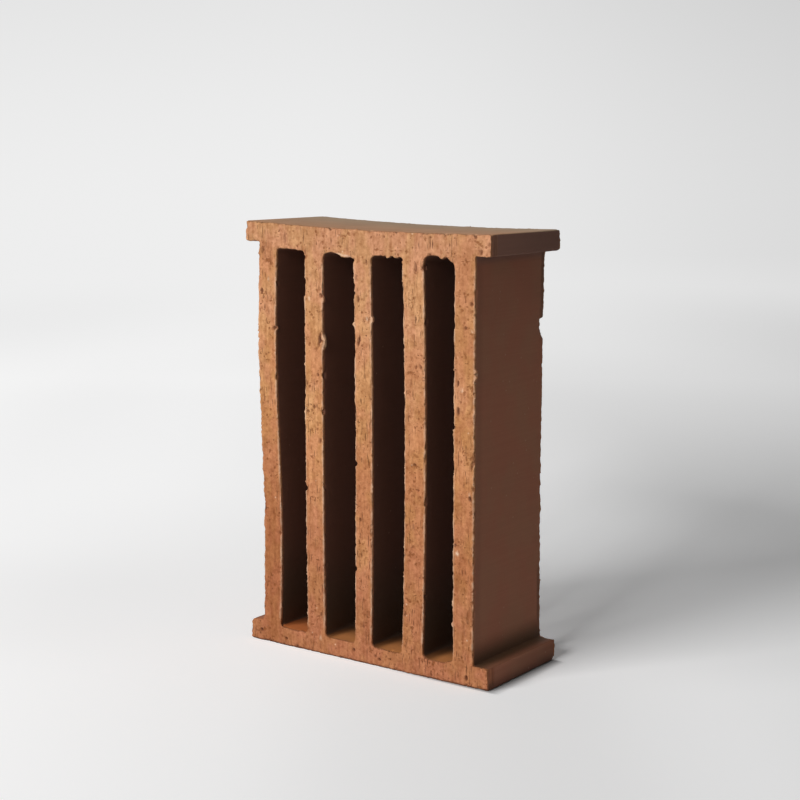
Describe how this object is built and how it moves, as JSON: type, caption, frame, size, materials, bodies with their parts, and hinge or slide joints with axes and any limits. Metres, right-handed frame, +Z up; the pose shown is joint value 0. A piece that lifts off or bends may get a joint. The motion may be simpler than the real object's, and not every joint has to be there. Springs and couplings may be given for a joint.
{
  "type": "slotted clay brick",
  "caption": "Upright fired clay screen brick with flanged ends, tall slots running straight through between slim webs, and a shallow recess down each side.",
  "frame": {"origin": "under the middle of the foot, on the plane that the brick stands on", "axes": "+Z up the slots towards the top flange, +X across the slots to the right, +Y along the extrusion from the front cut to the rear cut"},
  "size_m": [0.15, 0.063, 0.2214],
  "materials": {
    "fired_clay": "unglazed fired clay, orange to red brown, with wire-cut faces that show grog and drag marks and smoother die-drawn sides"
  },
  "bodies": {
    "root": {"clay_brick": "fired_clay"}
  },
  "joints": []
}
